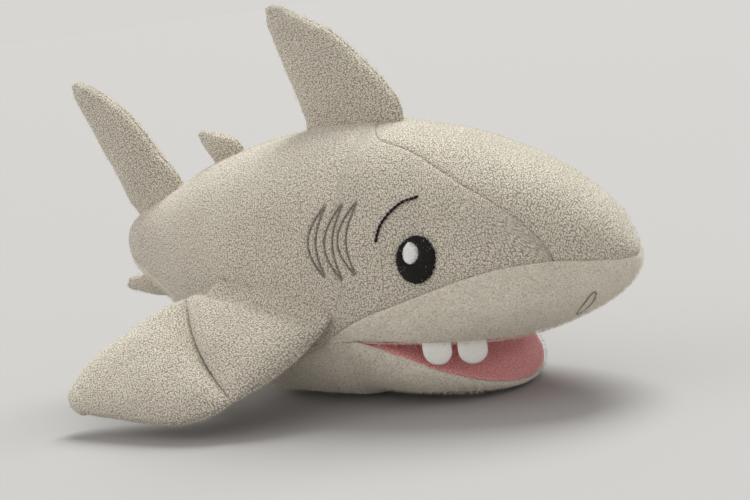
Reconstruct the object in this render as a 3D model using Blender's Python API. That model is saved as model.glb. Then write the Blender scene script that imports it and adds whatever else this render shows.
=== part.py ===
"""Plush shark: a stuffed terry toy with an open mouth and sewn-on fins.

Frame: +X towards the nose, +Y to the shark's left, +Z up.  The origin is on
the floor, under the middle of the toy.  Sizes below are in millimetres and
are turned into metres when the meshes are written.
"""
import math

import bmesh
import bpy
import numpy as np
from mathutils import Matrix, Vector

MM = 0.001

# ---------------------------------------------------------------- dimensions
NOSE_X = 147.0            # nose tip, measured from the middle of the toy
SKIN = 2.0                # thickness of the terry and velour panels
GAP = 0.3                 # gap kept between touching pieces
SEAM = 0.4                # width of the seams between panels
TOP_POWER = 2.2           # superellipse power of the back
BELLY_POWER = 2.7         # superellipse power of the belly, boxier
BODY_RINGS = 21
BODY_SIDES = 28

# body sections: distance behind the nose, ridge, widest height, belly, half width
BODY = np.array([
    [0, 54, 54, 54, 0],
    [8, 71, 53, 42, 18],
    [24, 86, 50, 32, 30],
    [50, 100, 48, 23.5, 40],
    [85, 111, 48, 14, 48],
    [125, 116, 48, -1.5, 52],
    [165, 112, 49, -1.5, 49],
    [205, 103, 52, 18, 38],
    [235, 91, 58, 38, 25],
    [255, 83, 63, 49, 17],
    [265, 77, 66, 55, 11],
    [270, 66, 66, 66, 0],
])

# mouth
HINGE = (39.0, 30.0)      # x and z of the jaw's hinge line
JAW_BACK_RADIUS = 16.0    # round back of the jaw, about the hinge line
JAW_TOP_START = 2.0       # how far in front of the hinge the jaw's top starts to slope down to the back
THROAT_CLEARANCE = 0.6
THROAT_HALF_WIDTH = 42.0
PALATE_SLOPE = -0.075
JAW_HALF_WIDTH = 41.0
JAW_LENGTH = 60.0
# jaw sections in front of the hinge: x, rim height, lowest height
JAW_SIDE = np.array([
    [24.0, 29.4, 26.0],
    [31.0, 29.4, 16.1],
    [39.0, 29.4, 13.6],
    [50.0, 25.6, 7.6],
    [62.0, 20.4, 3.6],
    [75.0, 15.0, 2.4],
    [86.0, 11.6, 3.2],
    [93.0, 10.8, 4.4],
    [97.5, 10.8, 6.2],
])

# seams in side view, from nose to tail (x, z)
WHITE_SEAM = [(170, 54), (147, 54.5), (139, 56.5), (123, 58.5), (107, 57.5), (92, 54.5), (78, 50.5),
              (60, 45), (46, 40.5), (36, 36), (22, 28), (0, 22), (-25, 24), (-55, 33), (-85, 46),
              (-110, 57), (-135, 62)]
# gusset on top of the snout, in plan (x, half width), back end to front
GUSSET = [(35, 0), (37, 9), (41, 16), (47, 21), (62, 23.5), (76, 27), (92, 29.2), (110, 29),
          (126, 27.8), (150, 27)]
CHEEK_SEAM_X = 36.6       # seam between lip panel and belly panel

# embroidery and felt
EYE = (73.0, 63.5)
EYE_SIZE = (17.0, 19.5)
GLINT = (70.6, 66.4)
GLINT_SIZE = (5.6, 7.4)
PATCH = 0.9               # height of the embroidery above the fabric
BROW = [(56.0, 71.2), (57.3, 76.8), (61.5, 82.4), (66.6, 86.0), (72.8, 87.8)]
BROW_WIDTH = 1.2
GILLS = [(30.6, 72.5, 14.0), (38.9, 72.0, 15.0), (45.4, 73.0, 14.2)]  # x, z, half height
GILL_BOW = 5.5            # how far each gill bows towards the tail
GILL_WIDTH = 4.0
GILL_LINE = 0.7
NOSTRIL = (132.5, 41.5)
NOSTRIL_SIZE = (4.0, 15.0)
TOOTH_WIDTH = 12.5
TOOTH_LENGTH = 9.2
TOOTH_THICK = 1.6
TEETH_X = {"rear": 71.5, "front": 87.5}

# fins
FIN_SKIN = 1.5            # thickness of each face of a fin
FIN_SIDES = 12
FIN_EDGE_POWER = 0.85     # below 1 makes a fin's section fuller than an ellipse

collection = bpy.data.collections.new("plush_shark")
cutters = bpy.data.collections.new("cutters")


def clear_scene():
    for thing in list(bpy.data.objects):
        bpy.data.objects.remove(thing, do_unlink=True)
    bpy.context.scene.collection.children.link(collection)
    bpy.context.scene.collection.children.link(cutters)


# ------------------------------------------------------------------ materials
def material(name, colour, roughness):
    made = bpy.data.materials.new(name)
    made.use_nodes = True
    shader = made.node_tree.nodes["Principled BSDF"]
    shader.inputs["Base Color"].default_value = (*colour, 1.0)
    shader.inputs["Roughness"].default_value = roughness
    shader.inputs["Metallic"].default_value = 0.0
    return made


GREY_TERRY = (0.36, 0.33, 0.30)
WHITE_VELOUR = (0.72, 0.70, 0.66)
PINK_TERRY = (0.62, 0.22, 0.24)
FILLING = (0.86, 0.86, 0.84)
BLACK_THREAD = (0.02, 0.02, 0.02)
WHITE_THREAD = (0.85, 0.85, 0.85)
TAUPE_THREAD = (0.20, 0.16, 0.13)
WHITE_FELT = (0.82, 0.82, 0.80)


def add_object(name, mesh, colour=None, roughness=0.9, cutter=False):
    thing = bpy.data.objects.new(name, mesh)
    (cutters if cutter else collection).objects.link(thing)
    if cutter:
        thing.hide_render = True
        thing.display_type = "WIRE"
    else:
        mesh.materials.clear()
        mesh.materials.append(material(name, colour, roughness))
    return thing


# --------------------------------------------------------------------- curves
def smooth_row(table, t):
    """Row of the table at index t, by a monotone cubic through its rows."""
    steps = np.diff(table, axis=0)
    product = steps[:-1] * steps[1:]
    total = np.where(product > 0, steps[:-1] + steps[1:], 1.0)
    slopes = np.zeros_like(table)
    slopes[1:-1] = np.where(product > 0, 2.0 * product / total, 0.0)
    slopes[0, 1:] = steps[0, 1:]
    slopes[-1, 1:] = steps[-1, 1:]
    low = min(int(t), len(table) - 2)
    f = t - low
    return (table[low] * (1 - f) ** 2 * (1 + 2 * f) + table[low + 1] * f ** 2 * (3 - 2 * f)
            + slopes[low] * f * (1 - f) ** 2 - slopes[low + 1] * f ** 2 * (1 - f))


def body_ring(row, sides):
    """Points of one body section, from the ridge down the right side and round."""
    behind, top, wide, low, half = row
    points = []
    for i in range(sides):
        angle = 2 * math.pi * i / sides
        across, up = math.sin(angle), math.cos(angle)
        power = 2 / (TOP_POWER if up > 0 else BELLY_POWER)
        y = -half * math.copysign(abs(across) ** power, across)
        z = wide + (top - wide if up > 0 else low - wide) * abs(up) ** power
        points.append((NOSE_X - behind, y, z))
    return points


# --------------------------------------------------------------------- solids
def loft(rings):
    """Closed mesh through the rings; a one-point ring is a pole, others get caps."""
    mesh = bpy.data.meshes.new("loft")
    bm = bmesh.new()
    rows = [[bm.verts.new(Vector(p) * MM) for p in ring] for ring in rings]
    for first, second in zip(rows, rows[1:]):
        count = max(len(first), len(second))
        for i in range(count):
            j = (i + 1) % count
            if len(first) == 1:
                bm.faces.new((first[0], second[j], second[i]))
            elif len(second) == 1:
                bm.faces.new((first[i], first[j], second[0]))
            else:
                bm.faces.new((first[i], first[j], second[j]))
                bm.faces.new((first[i], second[j], second[i]))
    if len(rows[0]) > 1:
        bm.faces.new(rows[0][::-1])
    if len(rows[-1]) > 1:
        bm.faces.new(rows[-1])
    bmesh.ops.recalc_face_normals(bm, faces=bm.faces)
    bm.to_mesh(mesh)
    bm.free()
    return mesh


def body_mesh(inset):
    """The whole body as one closed form, moved inwards by inset."""
    places = np.linspace(0, len(BODY) - 1, BODY_RINGS)
    rings = [body_ring(smooth_row(BODY, t), BODY_SIDES) for t in places]
    rings[0] = [rings[0][0]]
    rings[-1] = [rings[-1][0]]
    mesh = loft(rings)
    if inset:
        bm = bmesh.new()
        bm.from_mesh(mesh)
        bm.normal_update()
        for vertex in bm.verts:
            vertex.co -= vertex.normal * (inset * MM)
        bm.to_mesh(mesh)
        bm.free()
    return mesh


def prism(outline, low, high, frame=None):
    """Closed solid: a flat outline in the frame's XY plane, pulled along its Z."""
    bm = bmesh.new()
    bottom = [bm.verts.new((x * MM, y * MM, low * MM)) for x, y in outline]
    face = bm.faces.new(bottom)
    pulled = bmesh.ops.extrude_face_region(bm, geom=[face])
    moved = [item for item in pulled["geom"] if isinstance(item, bmesh.types.BMVert)]
    bmesh.ops.translate(bm, verts=moved, vec=(0, 0, (high - low) * MM))
    bmesh.ops.recalc_face_normals(bm, faces=bm.faces)
    mesh = bpy.data.meshes.new("prism")
    bm.to_mesh(mesh)
    bm.free()
    if frame is not None:
        mesh.transform(frame)
    return mesh


def side_prism(name, outline, half_width):
    """Cutter: an outline in side view (x, z), pulled across the toy."""
    frame = Matrix(((1, 0, 0, 0), (0, 0, -1, 0), (0, 1, 0, 0), (0, 0, 0, 1)))
    return add_object(name, prism(outline, -half_width, half_width, frame), cutter=True)


def carve(thing, *steps):
    """Apply EXACT Booleans in turn; each step is (operation, cutter)."""
    for operation, cutter in steps:
        change = thing.modifiers.new(cutter.name, "BOOLEAN")
        change.operation = operation
        change.solver = "EXACT"
        change.object = cutter
    graph = bpy.context.evaluated_depsgraph_get()
    graph.update()
    carved = bpy.data.meshes.new_from_object(thing.evaluated_get(graph))
    thing.modifiers.clear()
    old = thing.data
    thing.data = carved
    bpy.data.meshes.remove(old)
    bm = bmesh.new()
    bm.from_mesh(carved)
    bmesh.ops.remove_doubles(bm, verts=bm.verts, dist=1e-6)
    bmesh.ops.dissolve_degenerate(bm, edges=bm.edges, dist=1e-6)
    bm.to_mesh(carved)
    bm.free()
    return thing


def mirrored(thing, name):
    """The same piece on the shark's other side."""
    mesh = thing.data.copy()
    mesh.transform(Matrix.Scale(-1, 4, (0, 1, 0)))
    mesh.flip_normals()
    shader = thing.data.materials[0].node_tree.nodes["Principled BSDF"]
    colour = shader.inputs["Base Color"].default_value[:3]
    return add_object(name, mesh, colour, shader.inputs["Roughness"].default_value)


def smooth_shade(thing, angle=40):
    thing.data.shade_smooth()
    thing.data.set_sharp_from_angle(angle=math.radians(angle))


# ------------------------------------------------------------------------ body
def palate_height(x):
    return HINGE[1] + PALATE_SLOPE * (x - HINGE[0])


def mouth_outline(grow):
    """Side view of the mouth opening in front of the throat, grown by grow."""
    radius = JAW_BACK_RADIUS + THROAT_CLEARANCE + grow
    return [(HINGE[0] - radius * math.cos(math.radians(65)), -20),
            (HINGE[0] - radius * math.cos(math.radians(65)), palate_height(HINGE[0]) + grow),
            (HINGE[0], palate_height(HINGE[0]) + grow),
            (180, palate_height(180) + grow),
            (180, -20)]


def throat_outline(grow):
    """Side view of the hollow that the back of the jaw turns in."""
    radius = JAW_BACK_RADIUS + THROAT_CLEARANCE + grow
    arc = [(HINGE[0] + radius * math.cos(math.radians(a)), HINGE[1] + radius * math.sin(math.radians(a)))
           for a in range(185, 251, 8)]
    front = HINGE[0] + 4
    return [(arc[0][0], HINGE[1] + grow), *arc, (front, arc[-1][1]), (front, HINGE[1] + grow)]


def seam_region(above):
    """Side view of everything above or below the grey and white seam."""
    shift = SEAM / 2 if above else -SEAM / 2
    line = [(x, z + shift) for x, z in WHITE_SEAM]
    edge = 150 if above else -30
    return [(line[0][0], edge), *line, (line[-1][0], edge)]


def gusset_plan(grow):
    """Plan of the snout gusset, grown by grow."""
    right = [(x - (grow if i == 0 else 0), -(y + (grow if i else 0))) for i, (x, y) in enumerate(GUSSET)]
    left = [(x, -y) for x, y in right[1:]]
    return right + left[::-1]


def box(name, low, high):
    """Cutter box from corner to corner, in millimetres."""
    outline = [(low[0], low[1]), (high[0], low[1]), (high[0], high[1]), (low[0], high[1])]
    return add_object(name, prism(outline, low[2], high[2]), cutter=True)


def build_body():
    hollow = add_object("body_hollow", body_mesh(SKIN), cutter=True)
    floor_cut = box("floor_cut", (-200, -80, -40), (200, 80, 0))
    inner_floor = box("inner_floor_cut", (-200, -80, -40), (200, 80, SKIN + GAP))
    grey = side_prism("grey_region", seam_region(True), 80)
    white = side_prism("white_region", seam_region(False), 80)
    mouth = side_prism("mouth_cut", mouth_outline(0), 80)
    throat = side_prism("throat_cut", throat_outline(0), THROAT_HALF_WIDTH)
    gusset_keep = add_object("gusset_keep", prism(gusset_plan(-SEAM / 2), 40, 150), cutter=True)
    gusset_cut = add_object("gusset_cut", prism(gusset_plan(SEAM / 2), 40, 150), cutter=True)
    right_half = box("right_half", (-200, -80, -20), (200, -SEAM / 2, 150))
    cheek_front = box("cheek_front", (CHEEK_SEAM_X + SEAM, -80, -20), (200, 80, 150))
    cheek_back = box("cheek_back", (-200, -80, -20), (CHEEK_SEAM_X, 80, 150))
    inner_floor_hollow = box("belly_pocket", (-200, -80, -40), (200, 80, SKIN))

    # the hollow stops above the flat belly, so that the belly panel has a floor
    carve(hollow, ("DIFFERENCE", inner_floor_hollow))

    side = add_object("side_panel_right", body_mesh(0), GREY_TERRY)
    carve(side, ("DIFFERENCE", hollow), ("INTERSECT", grey), ("DIFFERENCE", gusset_cut),
          ("INTERSECT", right_half))
    mirrored(side, "side_panel_left")
    gusset = add_object("snout_gusset", body_mesh(0), GREY_TERRY)
    carve(gusset, ("DIFFERENCE", hollow), ("INTERSECT", grey), ("INTERSECT", gusset_keep))
    lip = add_object("lip_panel", body_mesh(0), WHITE_VELOUR)
    carve(lip, ("DIFFERENCE", hollow), ("INTERSECT", white), ("DIFFERENCE", mouth),
          ("INTERSECT", cheek_front))
    belly = add_object("belly_panel", body_mesh(0), WHITE_VELOUR)
    carve(belly, ("DIFFERENCE", floor_cut), ("DIFFERENCE", hollow), ("INTERSECT", white),
          ("DIFFERENCE", mouth), ("DIFFERENCE", throat), ("INTERSECT", cheek_back))

    inside = body_mesh(SKIN + GAP)
    mouth_layer = side_prism("mouth_layer", mouth_outline(SKIN), 80)
    throat_layer = side_prism("throat_layer", throat_outline(SKIN), THROAT_HALF_WIDTH + SKIN)
    mouth_inner = side_prism("mouth_inner", mouth_outline(SKIN + GAP), 80)
    throat_inner = side_prism("throat_inner", throat_outline(SKIN + GAP), THROAT_HALF_WIDTH + SKIN + GAP)
    layer = carve(mouth_layer, ("UNION", throat_layer))
    lining = add_object("mouth_lining", inside.copy(), PINK_TERRY)
    carve(lining, ("DIFFERENCE", inner_floor), ("INTERSECT", layer), ("DIFFERENCE", mouth),
          ("DIFFERENCE", throat))
    filling = add_object("body_filling", inside, FILLING)
    carve(filling, ("DIFFERENCE", inner_floor), ("DIFFERENCE", mouth_inner), ("DIFFERENCE", throat_inner))


# ------------------------------------------------------------------------- jaw
def jaw_half_width(x):
    reach = max(0.0, x - HINGE[0]) / JAW_LENGTH
    return JAW_HALF_WIDTH * math.sqrt(max(0.0, 1 - reach ** 2.2))


def jaw_mesh(inset, roof=0.0):
    """The jaw's rounded underside and flat top, inset all round but for the top."""
    rings = []
    for row in range(2 * len(JAW_SIDE) - 1):
        x, rim, low = smooth_row(JAW_SIDE, row / 2)
        half = max(1.0, jaw_half_width(x) - inset)
        depth = max(0.6, rim - low - inset)
        ring = [(x, half, rim + roof)] if roof else []
        ring.append((x, half, rim))
        for i in range(1, 15):
            angle = math.pi * i / 15
            ring.append((x, half * math.copysign(abs(math.cos(angle)) ** 0.8, math.cos(angle)),
                         rim - depth * math.sin(angle) ** 0.8))
        ring.append((x, -half, rim))
        if roof:
            ring.append((x, -half, rim + roof))
        rings.append(ring)
    return loft(rings)


def slab(inset, top_drop, bottom_drop):
    """A layer that follows the top of the jaw."""
    rings = []
    for row in range(2 * len(JAW_SIDE) - 1):
        x, rim, _ = smooth_row(JAW_SIDE, row / 2)
        half = max(0.8, jaw_half_width(x) - inset)
        high, low = rim - top_drop, rim - bottom_drop
        rings.append([(x, half, high), (x, half, low), (x, -half, low), (x, -half, high)])
    return loft(rings)


def build_jaw():
    arc = [(HINGE[0] + JAW_BACK_RADIUS * math.cos(math.radians(a)),
            HINGE[1] + JAW_BACK_RADIUS * math.sin(math.radians(a))) for a in range(205, 271, 8)]
    top = (HINGE[0] + JAW_TOP_START, HINGE[1] + 0.2)
    outline = [top, *arc, (HINGE[0] + 4, -10), (130, -10), (130, top[1])]
    side = side_prism("jaw_side", outline, 80)
    hollow = add_object("jaw_hollow", jaw_mesh(SKIN, roof=8.0), cutter=True)
    cover = add_object("jaw_cover", jaw_mesh(0), WHITE_VELOUR)
    front_hollow = carve(hollow, ("INTERSECT", box("jaw_front", (0, -80, -20), (94.8, 80, 60))))
    carve(cover, ("INTERSECT", side), ("DIFFERENCE", front_hollow))
    inner_side = box("jaw_inner_front", (0, -80, -20), (94.4, 80, 60))
    lining_layer = add_object("lining_layer", slab(-5, -5, SKIN), cutter=True)
    lining = add_object("jaw_lining", jaw_mesh(SKIN + GAP), PINK_TERRY)
    carve(lining, ("INTERSECT", side), ("INTERSECT", lining_layer), ("INTERSECT", inner_side))
    filling = add_object("jaw_filling", jaw_mesh(SKIN + GAP), FILLING)
    above_lining = add_object("above_lining", slab(-5, -20.0, SKIN + GAP), cutter=True)
    carve(filling, ("INTERSECT", side), ("DIFFERENCE", above_lining), ("INTERSECT", inner_side))
    return [cover, lining, filling]


# --------------------------------------------------- embroidery, felt and teeth
def oval(centre, size, count=20):
    return [(centre[0] + size[0] / 2 * math.cos(2 * math.pi * i / count),
             centre[1] + size[1] / 2 * math.sin(2 * math.pi * i / count)) for i in range(count)]


def band(points, width):
    """Outline of a band of even width along an open line of points."""
    line = [Vector(p) for p in points]
    left, right = [], []
    for i, point in enumerate(line):
        along = (line[min(i + 1, len(line) - 1)] - line[max(i - 1, 0)]).normalized()
        side = Vector((-along.y, along.x)) * (width / 2)
        left.append(tuple(point + side))
        right.append(tuple(point - side))
    return left + right[::-1]


def crescent(centre, half_height, shrink, start, count=9):
    """Outline of a gill: a thin crescent that bows towards the tail."""
    front, back = [], []
    for f in np.linspace(start, 1 - start, count):
        z = centre[1] + half_height * (1 - 2 * f)
        middle = centre[0] - GILL_BOW * math.sin(math.pi * f)
        half = max(0.15, GILL_WIDTH / 2 * math.sin(math.pi * f) ** 0.7 - shrink)
        front.append((middle + half, z))
        back.append((middle - half, z))
    return front + back[::-1]


def surface_layer(name, bottom, top):
    """A thin layer that follows the body's outside, for cutting patches from."""
    layer = add_object(name, body_mesh(-top), cutter=True)
    return carve(layer, ("DIFFERENCE", add_object(name + "_under", body_mesh(-bottom), cutter=True)))


def patch(name, layer, outline, colour, roughness, hole=None):
    """A patch of the layer on the shark's right side, seen in side view."""
    frame = Matrix(((1, 0, 0, 0), (0, 0, -1, 0), (0, 1, 0, 0), (0, 0, 0, 1)))
    piece = add_object(name, prism(outline, 12, 80, frame), colour, roughness)
    steps = [("INTERSECT", layer)]
    if hole:
        steps.append(("DIFFERENCE", add_object(name + "_hole", prism(hole, 5, 90, frame), cutter=True)))
    carve(piece, *steps)
    smooth_shade(piece)
    return piece


def build_embroidery():
    layer = surface_layer("thread_layer", GAP, GAP + PATCH)
    eye_hole = oval(GLINT, (GLINT_SIZE[0] + 2 * GAP, GLINT_SIZE[1] + 2 * GAP), 16)
    right = [patch("eye_right", layer, oval(EYE, EYE_SIZE), BLACK_THREAD, 0.45, eye_hole),
             patch("eye_glint_right", layer, oval(GLINT, GLINT_SIZE, 16), WHITE_THREAD, 0.5),
             patch("brow_right", layer, band(BROW, BROW_WIDTH), BLACK_THREAD, 0.6)]
    for number, (x, z, half) in enumerate(GILLS, start=1):
        outside = crescent((x, z), half, 0.0, 0.0)
        inside = crescent((x, z), half, GILL_LINE, 0.12)
        right.append(patch(f"gill_right_{number}", layer, outside, TAUPE_THREAD, 0.8, inside))
    for piece in right:
        mirrored(piece, piece.name.replace("_right", "_left"))


def build_nostrils():
    """A thin ring of thread on each side of the snout's underside."""
    layer = surface_layer("snout_layer", GAP, GAP + PATCH)
    outward = Vector((0.62, -0.42, -0.66)).normalized()
    along = Vector((0.72, -0.30, 0.62))
    along = (along - outward * along.dot(outward)).normalized()
    across = outward.cross(along)
    centre = Vector((NOSTRIL[0], -12.0, NOSTRIL[1])) * MM
    frame = Matrix((across, along, outward)).transposed().to_4x4()
    frame.translation = centre
    piece = add_object("nostril_right", prism(oval((0, 0), NOSTRIL_SIZE), -12, 12, frame), TAUPE_THREAD, 0.8)
    inner = (NOSTRIL_SIZE[0] - 2 * GILL_LINE, NOSTRIL_SIZE[1] - 2 * GILL_LINE)
    hole = add_object("nostril_hole", prism(oval((0, 0), inner), -20, 20, frame), cutter=True)
    carve(piece, ("INTERSECT", layer), ("DIFFERENCE", hole))
    mirrored(piece, "nostril_left")


def lip_half_width(x):
    """Half width of the underside of the upper lip at x."""
    t = np.interp(NOSE_X - x, BODY[:, 0], range(len(BODY)))
    _, _, wide, low, half = smooth_row(BODY, t)
    drop = (wide - palate_height(x)) / (wide - low)
    return half * (1 - min(1.0, drop) ** BELLY_POWER) ** (1 / BELLY_POWER)


def build_teeth():
    for place, x in TEETH_X.items():
        half = TOOTH_WIDTH / 2
        straight = TOOTH_LENGTH - half
        outline = [(-half, 0), (-half, -straight)]
        outline += [(half * math.cos(math.radians(a)), -straight + half * math.sin(math.radians(a)))
                    for a in range(195, 346, 15)]
        outline += [(half, -straight), (half, 0)]
        near, far = lip_half_width(x - 4), lip_half_width(x + 4)
        turn = math.atan2(near - far, 8.0)
        frame = Matrix.Translation(Vector((x, -lip_half_width(x) + 1.0, palate_height(x) - 1.0)) * MM)
        frame @= Matrix.Rotation(turn, 4, "Z") @ Matrix.Rotation(math.radians(90), 4, "X")
        mesh = prism(outline, -TOOTH_THICK / 2, TOOTH_THICK / 2, frame)
        tooth = add_object(f"tooth_right_{place}", mesh, WHITE_FELT)
        mirrored(tooth, f"tooth_left_{place}")


# ------------------------------------------------------------------------ fins
class Blade:
    """Flat frame of a fin: root centre, chord direction, span direction, normal."""

    def __init__(self, origin, chord, span):
        self.origin = Vector(origin)
        self.chord = Vector(chord).normalized()
        self.span = (Vector(span) - self.chord * Vector(span).dot(self.chord)).normalized()
        self.normal = self.chord.cross(self.span)

    def place(self, along, out, up=0.0):
        return self.origin + self.chord * along + self.span * out + self.normal * up


def fin_solid(blade, rows, inset, sides=FIN_SIDES):
    """Pillow through lens sections: rows of (out, back end, front end, half thickness)."""
    rings = []
    last = len(rows) - 1
    for index, (out, back, front, thick) in enumerate(rows):
        shift = inset * 0.9 if index == 0 else (-inset * 0.9 if index == last else 0)
        centre, half = (back + front) / 2, max(0.5, (front - back) / 2 - inset)
        thick = max(0.35, thick - inset)
        ring = []
        for i in range(sides):
            angle = 2 * math.pi * i / sides
            rise = math.sin(angle)
            ring.append(blade.place(centre + half * math.cos(angle), out + shift,
                                    thick * math.copysign(abs(rise) ** FIN_EDGE_POWER, rise)))
        rings.append(ring)
    return loft(rings)


def rounded_root(rows):
    """Add a narrower section in front of the first, so the sewn root is round."""
    out, back, front, thick = rows[0]
    return [(out - thick * 0.9, back + 1.2, front - 1.2, thick * 0.45)] + list(rows)


def half_space(name, blade, upper):
    """Cutter on one side of the fin's flat middle plane."""
    low, high = (SEAM / 2, 60) if upper else (-60, -SEAM / 2)
    outline = [(-150, -60), (150, -60), (150, 150), (-150, 150)]
    frame = Matrix((blade.chord, blade.span, blade.normal)).transposed().to_4x4()
    frame.translation = blade.origin * MM
    return add_object(name, prism(outline, low, high, frame), cutter=True)


def build_fin(name, blade, rows, faces):
    """Two sewn faces and the filling between them."""
    rows = rounded_root(rows)
    hollow = add_object(name + "_hollow", fin_solid(blade, rows, FIN_SKIN), cutter=True)
    pieces = []
    for face, upper in zip(faces, (True, False)):
        piece = add_object(f"{name}_{face}", fin_solid(blade, rows, 0.0), GREY_TERRY)
        carve(piece, ("DIFFERENCE", hollow), ("INTERSECT", half_space(f"{name}_{face}_side", blade, upper)))
        smooth_shade(piece)
        pieces.append(piece)
    filling = add_object(f"{name}_filling", fin_solid(blade, rows, FIN_SKIN + GAP), FILLING)
    smooth_shade(filling)
    pieces.append(filling)
    return pieces


def mount_on(joint_name, place, pieces, parent=None):
    """Parent a moving body's pieces to an empty on its joint's axis."""
    hinge = bpy.data.objects.new(joint_name, None)
    collection.objects.link(hinge)
    hinge.location = Vector(place) * MM
    if parent:
        hinge.parent = parent
        hinge.location = Vector(place) * MM - parent.matrix_world.translation
    bpy.context.view_layer.update()
    for piece in pieces:
        piece.parent = hinge
        piece.matrix_parent_inverse = hinge.matrix_world.inverted()
    return hinge


# rows of each fin: distance from the hinge line, back end, front end, half thickness
DORSAL_ROOT = (18.0, 0.0, 118.9)
DORSAL_ROWS = [(0, -25, 26, 2.5), (4, -26.5, 24.5, 5.0), (10, -28.5, 21, 6.4), (19, -31.5, 14, 6.6),
               (29, -34.5, 4, 6.0), (38, -37, -7, 5.2), (44, -39, -18, 4.2), (48, -38.5, -27, 2.6)]
SECOND_ROOT = (-56.5, 0.0, 105.6)
SECOND_CHORD = (0.94, 0.0, 0.34)
SECOND_ROWS = [(0, -9, 9, 2.0), (3, -10, 7.5, 3.2), (7, -11.8, 3.5, 3.6), (11, -13.2, -2.5, 3.0),
               (14, -13.5, -8, 1.8)]
UPPER_TAIL_ROOT = (-105.2, 0.0, 88.6)
UPPER_TAIL_CHORD = (0.876, 0.0, 0.481)
UPPER_TAIL_ROWS = [(0, -16, 17, 2.5), (5, -16.5, 16, 4.8), (14, -15.5, 14.2, 6.2), (28, -14.8, 12.2, 6.0),
                   (42, -14.8, 8.6, 5.4), (55, -14.6, 2.8, 4.6), (64, -14.2, -3.0, 3.6), (69, -12.5, -7.5, 2.0)]
LOWER_TAIL_ROOT = (-109.2, 0.0, 46.7)
LOWER_TAIL_CHORD = (0.862, 0.0, -0.507)
LOWER_TAIL_ROWS = [(0, -9, 8.5, 2.0), (4, -14, 6.5, 3.4), (8, -18.5, 1.0, 3.8), (11.5, -21.5, -7, 3.2),
                   (14, -21, -13, 1.8)]

# right pectoral fin, whose inner and outer parts meet at a stitched fold
SHOULDER_FRONT = Vector((31.0, -55.5, 38.0))
SHOULDER_BACK = Vector((-34.0, -53.5, 51.0))
FOLD_FRONT = Vector((3.6, -88.1, 14.8))
FOLD_BACK = Vector((-42.7, -56.4, 50.0))
PECTORAL_TIP = Vector((-85.0, -95.0, 12.0))
# share of the way from root to fold, and half thickness there
INNER_THICKNESS = [(0.0, 2.5), (0.1, 4.6), (0.3, 7.6), (0.5, 8.6), (0.7, 7.6), (0.88, 4.6), (1.0, 2.0)]
OUTER_ROWS = [(2.4, -0.5, 66, 2.0), (6, -1.5, 64.5, 4.4), (14, -3, 60, 6.8), (24, -3.5, 52.5, 7.8),
              (34, -4.0, 43.5, 7.4), (43, -4.4, 33, 6.2), (50, -3.0, 23, 4.6), (55, 1.5, 14.5, 2.6)]


def inner_fin_solid(normal, inset, sides=FIN_SIDES):
    """Pillow between the shoulder line and the fold line."""
    rings = []
    for share, thick in [(-0.04, 1.1)] + INNER_THICKNESS + [(1.02, 0.9)]:
        share += (0.5 - share) * inset * 0.06
        front = SHOULDER_FRONT.lerp(FOLD_FRONT, share * 0.965)
        back = SHOULDER_BACK.lerp(FOLD_BACK, share * 0.74)
        chord = (front - back).normalized()
        half = max(0.5, (front - back).length / 2 - inset)
        middle = (front + back) / 2
        thick = max(0.35, thick - inset)
        ring = []
        for i in range(sides):
            angle = 2 * math.pi * i / sides
            rise = math.sin(angle)
            lens = thick * math.copysign(abs(rise) ** FIN_EDGE_POWER, rise)
            ring.append(middle + chord * (half * math.cos(angle)) + normal * lens)
        rings.append(ring)
    return loft(rings)


def build_inner_fin(blade):
    hollow = add_object("inner_fin_hollow", inner_fin_solid(blade.normal, FIN_SKIN), cutter=True)
    pieces = []
    for face, upper in (("top", True), ("bottom", False)):
        piece = add_object(f"right_fin_inner_{face}", inner_fin_solid(blade.normal, 0.0), GREY_TERRY)
        carve(piece, ("DIFFERENCE", hollow),
              ("INTERSECT", half_space(f"inner_fin_{face}_side", blade, upper)))
        smooth_shade(piece)
        pieces.append(piece)
    filling = add_object("right_fin_inner_filling", inner_fin_solid(blade.normal, FIN_SKIN + GAP), FILLING)
    smooth_shade(filling)
    return pieces + [filling]


def build_pectorals():
    inner = Blade(SHOULDER_FRONT, SHOULDER_BACK - SHOULDER_FRONT, FOLD_FRONT - SHOULDER_FRONT)
    outer = Blade(FOLD_BACK, FOLD_FRONT - FOLD_BACK, PECTORAL_TIP - FOLD_BACK)
    if inner.normal.z < 0:
        inner.normal.negate()
    if outer.normal.z < 0:
        outer.normal.negate()
    right_inner = build_inner_fin(inner)
    right_outer = build_fin("right_fin_outer", outer, OUTER_ROWS, ("top", "bottom"))
    for side, flip in (("right", 1), ("left", -1)):
        if side == "right":
            groups = (right_inner, right_outer)
        else:
            groups = [[mirrored(p, p.name.replace("right", "left")) for p in group]
                      for group in (right_inner, right_outer)]
        flat = Vector((1, flip, 1))
        shoulder = mount_on(f"{side}_shoulder", SHOULDER_FRONT * flat, groups[0])
        mount_on(f"{side}_fold", FOLD_BACK * flat, groups[1], shoulder)


def build_fins():
    dorsal = Blade(DORSAL_ROOT, (1, 0, 0), (0, 0, 1))
    second = Blade(SECOND_ROOT, SECOND_CHORD, (0, 0, 1))
    upper = Blade(UPPER_TAIL_ROOT, UPPER_TAIL_CHORD, (0, 0, 1))
    lower = Blade(LOWER_TAIL_ROOT, LOWER_TAIL_CHORD, (0, 0, -1))
    table = [("dorsal_fin", dorsal, DORSAL_ROWS, ("right", "left")),
             ("second_fin", second, SECOND_ROWS, ("right", "left")),
             ("upper_tail", upper, UPPER_TAIL_ROWS, ("right", "left")),
             ("lower_tail", lower, LOWER_TAIL_ROWS, ("left", "right"))]
    for name, blade, rows, faces in table:
        mount_on(f"{name}_hinge", blade.origin, build_fin(name, blade, rows, faces))


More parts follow.
